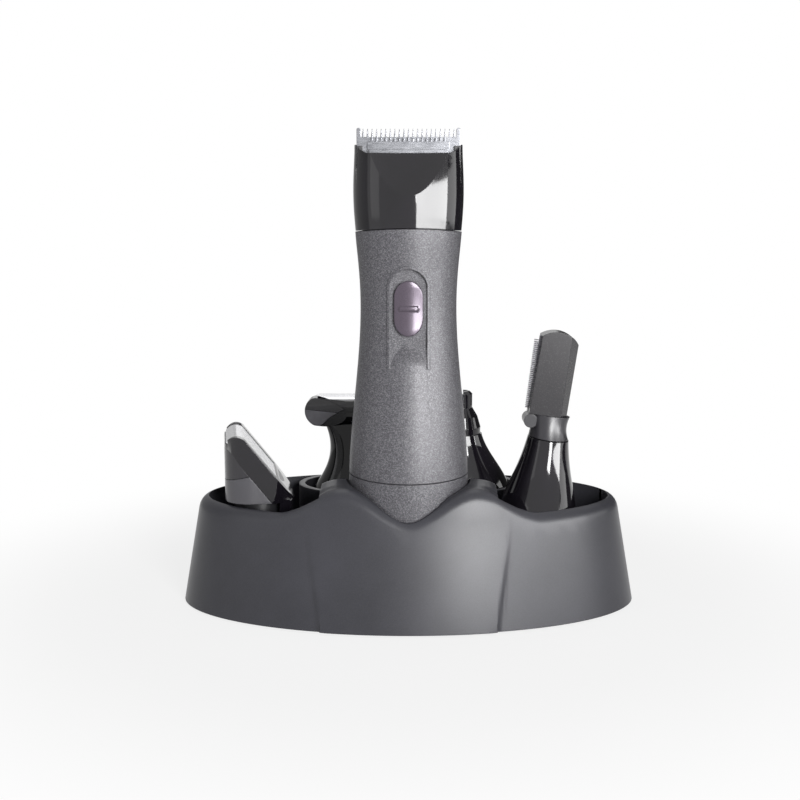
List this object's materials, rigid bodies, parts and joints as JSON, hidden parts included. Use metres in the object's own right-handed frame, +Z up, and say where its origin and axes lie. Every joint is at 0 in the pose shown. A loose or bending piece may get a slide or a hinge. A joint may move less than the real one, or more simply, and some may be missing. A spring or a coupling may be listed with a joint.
{
  "type": "beard trimmer",
  "caption": "Battery beard trimmer standing in a low oval storage stand, with interchangeable foil, nose and detail heads on posts round it.",
  "frame": {"origin": "On the floor at the middle of the stand.", "axes": "+Z up, -Y towards the user and the front of the stand, +X to the user's right."},
  "size_m": [0.1594, 0.0867, 0.1633],
  "materials": {
    "stand_plastic": "fine grained dark charcoal moulding",
    "stand_cover": "plain dark moulding",
    "foot_rubber": "soft matte",
    "screw_steel": "zinc plated",
    "handle_paint": "gunmetal sparkle lacquer",
    "cell_wrap": "shrink wrapped steel can",
    "contact_brass": "plain",
    "spring_steel": "nickel plated wire",
    "inner_plastic": "black inner moulding",
    "motor_steel": "drawn can",
    "button_plastic": "mauve grey, semi-gloss",
    "drive_plastic": "natural acetal",
    "head_black": "glossy black-violet moulding",
    "head_grey": "satin dark grey moulding",
    "skirt_grey": "satin grey moulding",
    "blade_steel": "ground stainless steel",
    "foil_steel": "perforated foil",
    "ring_metal": "polished"
  },
  "bodies": {
    "stand": {"stand_shell": "stand_plastic", "stand_base_plate": "stand_cover", "stand_feet": "foot_rubber", "stand_screws": "screw_steel", "post_foil": "stand_cover", "post_wide": "stand_cover", "post_nose": "stand_cover", "post_detail": "stand_cover"},
    "battery_cap": {"battery_cap": "handle_paint", "cap_contact_plate": "contact_brass", "battery_spring": "spring_steel", "battery_cell": "cell_wrap"},
    "handle": {"handle_front_shell": "handle_paint", "handle_rear_shell": "handle_paint", "handle_chassis": "inner_plastic", "motor_can": "motor_steel", "motor_end_cap": "drive_plastic", "contact_strips": "contact_brass", "head_mount": "inner_plastic"},
    "switch": {"switch_button": "button_plastic", "switch_wiper": "contact_brass"},
    "motor_rotor": {"motor_shaft": "screw_steel", "eccentric_cam": "drive_plastic"},
    "trimmer_head": {"trimmer_housing": "head_black", "blade_carrier": "inner_plastic", "fixed_blade": "blade_steel", "blade_guide": "blade_steel"},
    "trimmer_blade": {"moving_blade": "blade_steel", "blade_driver": "drive_plastic"},
    "foil_head": {"foil_skirt": "skirt_grey", "foil_body": "head_grey", "foil_frame": "head_black", "foil_sheet": "foil_steel"},
    "foil_blades": {"foil_cutter": "blade_steel", "foil_driver": "drive_plastic"},
    "wide_head": {"wide_housing": "head_black", "wide_end_trims": "skirt_grey", "wide_frame": "head_black", "wide_foil": "foil_steel"},
    "wide_blades": {"wide_cutter": "blade_steel", "wide_driver": "drive_plastic"},
    "nose_head": {"nose_front_shell": "head_black", "nose_rear_shell": "head_black", "nose_ring": "ring_metal", "nose_guard": "head_black"},
    "nose_blades": {"nose_cutter": "blade_steel", "nose_spindle": "drive_plastic"},
    "detail_head": {"detail_skirt": "head_black", "detail_collar": "head_black", "detail_tower": "head_grey", "detail_fixed_blade": "blade_steel"},
    "detail_blades": {"detail_moving_blade": "blade_steel", "detail_driver": "drive_plastic"}
  },
  "joints": [
    {"name": "trimmer_lift", "type": "slide", "parent": "stand", "child": "battery_cap", "axis": [0, 0, 1], "range_m": [0, 0.055]},
    {"name": "cap_release", "type": "slide", "parent": "battery_cap", "child": "handle", "axis": [0, 0, 1], "range_m": [0, 0.06]},
    {"name": "switch_slide", "type": "slide", "parent": "handle", "child": "switch", "axis": [0, 0, 1], "range_m": [0, 0.003]},
    {"name": "motor_spin", "type": "hinge", "parent": "handle", "child": "motor_rotor", "pos_m": [0, -0.016, 0.12], "axis": [0, 0, 1], "continuous": true},
    {"name": "head_release", "type": "slide", "parent": "handle", "child": "trimmer_head", "axis": [0, 0, 1], "range_m": [0, 0.03]},
    {"name": "blade_stroke", "type": "slide", "parent": "trimmer_head", "child": "trimmer_blade", "axis": [1, 0, 0], "range_m": [-0.0012, 0.0012]},
    {"name": "foil_lift", "type": "slide", "parent": "stand", "child": "foil_head", "axis": [0, 0, 1], "range_m": [0, 0.03]},
    {"name": "foil_stroke", "type": "slide", "parent": "foil_head", "child": "foil_blades", "axis": [0, 1, 0], "range_m": [-0.0012, 0.0012]},
    {"name": "wide_lift", "type": "slide", "parent": "stand", "child": "wide_head", "axis": [0, 0, 1], "range_m": [0, 0.03]},
    {"name": "wide_stroke", "type": "slide", "parent": "wide_head", "child": "wide_blades", "axis": [1, 0, 0], "range_m": [-0.0012, 0.0012]},
    {"name": "nose_lift", "type": "slide", "parent": "stand", "child": "nose_head", "axis": [0, 0, 1], "range_m": [0, 0.03]},
    {"name": "nose_spin", "type": "hinge", "parent": "nose_head", "child": "nose_blades", "pos_m": [0.0194, 0.017, 0.06], "axis": [0, 0, 1], "continuous": true},
    {"name": "detail_lift", "type": "slide", "parent": "stand", "child": "detail_head", "axis": [0.1219, 0, 0.9925], "range_m": [0, 0.03]},
    {"name": "detail_stroke", "type": "slide", "parent": "detail_head", "child": "detail_blades", "axis": [0.1219, 0, 0.9925], "range_m": [-0.0012, 0.0012]}
  ]
}
